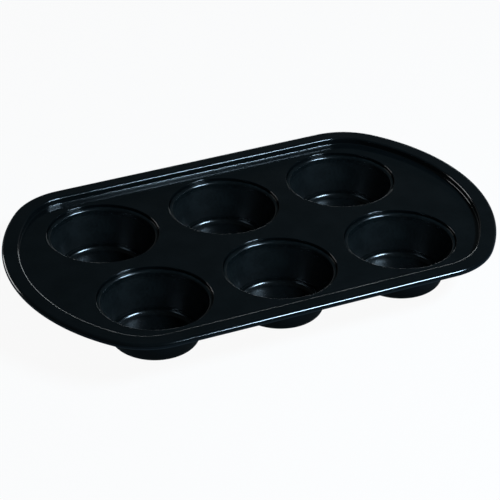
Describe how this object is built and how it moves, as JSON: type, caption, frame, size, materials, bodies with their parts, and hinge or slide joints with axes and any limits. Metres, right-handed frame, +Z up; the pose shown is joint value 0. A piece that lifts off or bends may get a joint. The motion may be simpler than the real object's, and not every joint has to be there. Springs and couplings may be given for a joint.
{
  "type": "muffin pan",
  "caption": "Muffin pan: a flat deck with bowed ends and a raised, wired rim, holding round tapered cups for baking.",
  "frame": {"origin": "centre of the pan's plan, on the plane that the cups' undersides stand on", "axes": "+X along the pan's long side to the right, +Y towards its back long side, +Z up out of the cups"},
  "size_m": [0.3506, 0.2126, 0.0367],
  "materials": {
    "deck_coating": "satin near-black baked coating on steel sheet",
    "cup_coating": "glossy near-black baked coating on drawn steel, with a fine orange peel",
    "wire_steel": "plain drawn steel wire, hidden in the rim"
  },
  "bodies": {
    "root": {"deck_sheet": "deck_coating", "cup_front_left": "cup_coating", "cup_front_middle": "cup_coating", "cup_front_right": "cup_coating", "cup_back_left": "cup_coating", "cup_back_middle": "cup_coating", "cup_back_right": "cup_coating", "rim_wire": "wire_steel"}
  },
  "joints": []
}
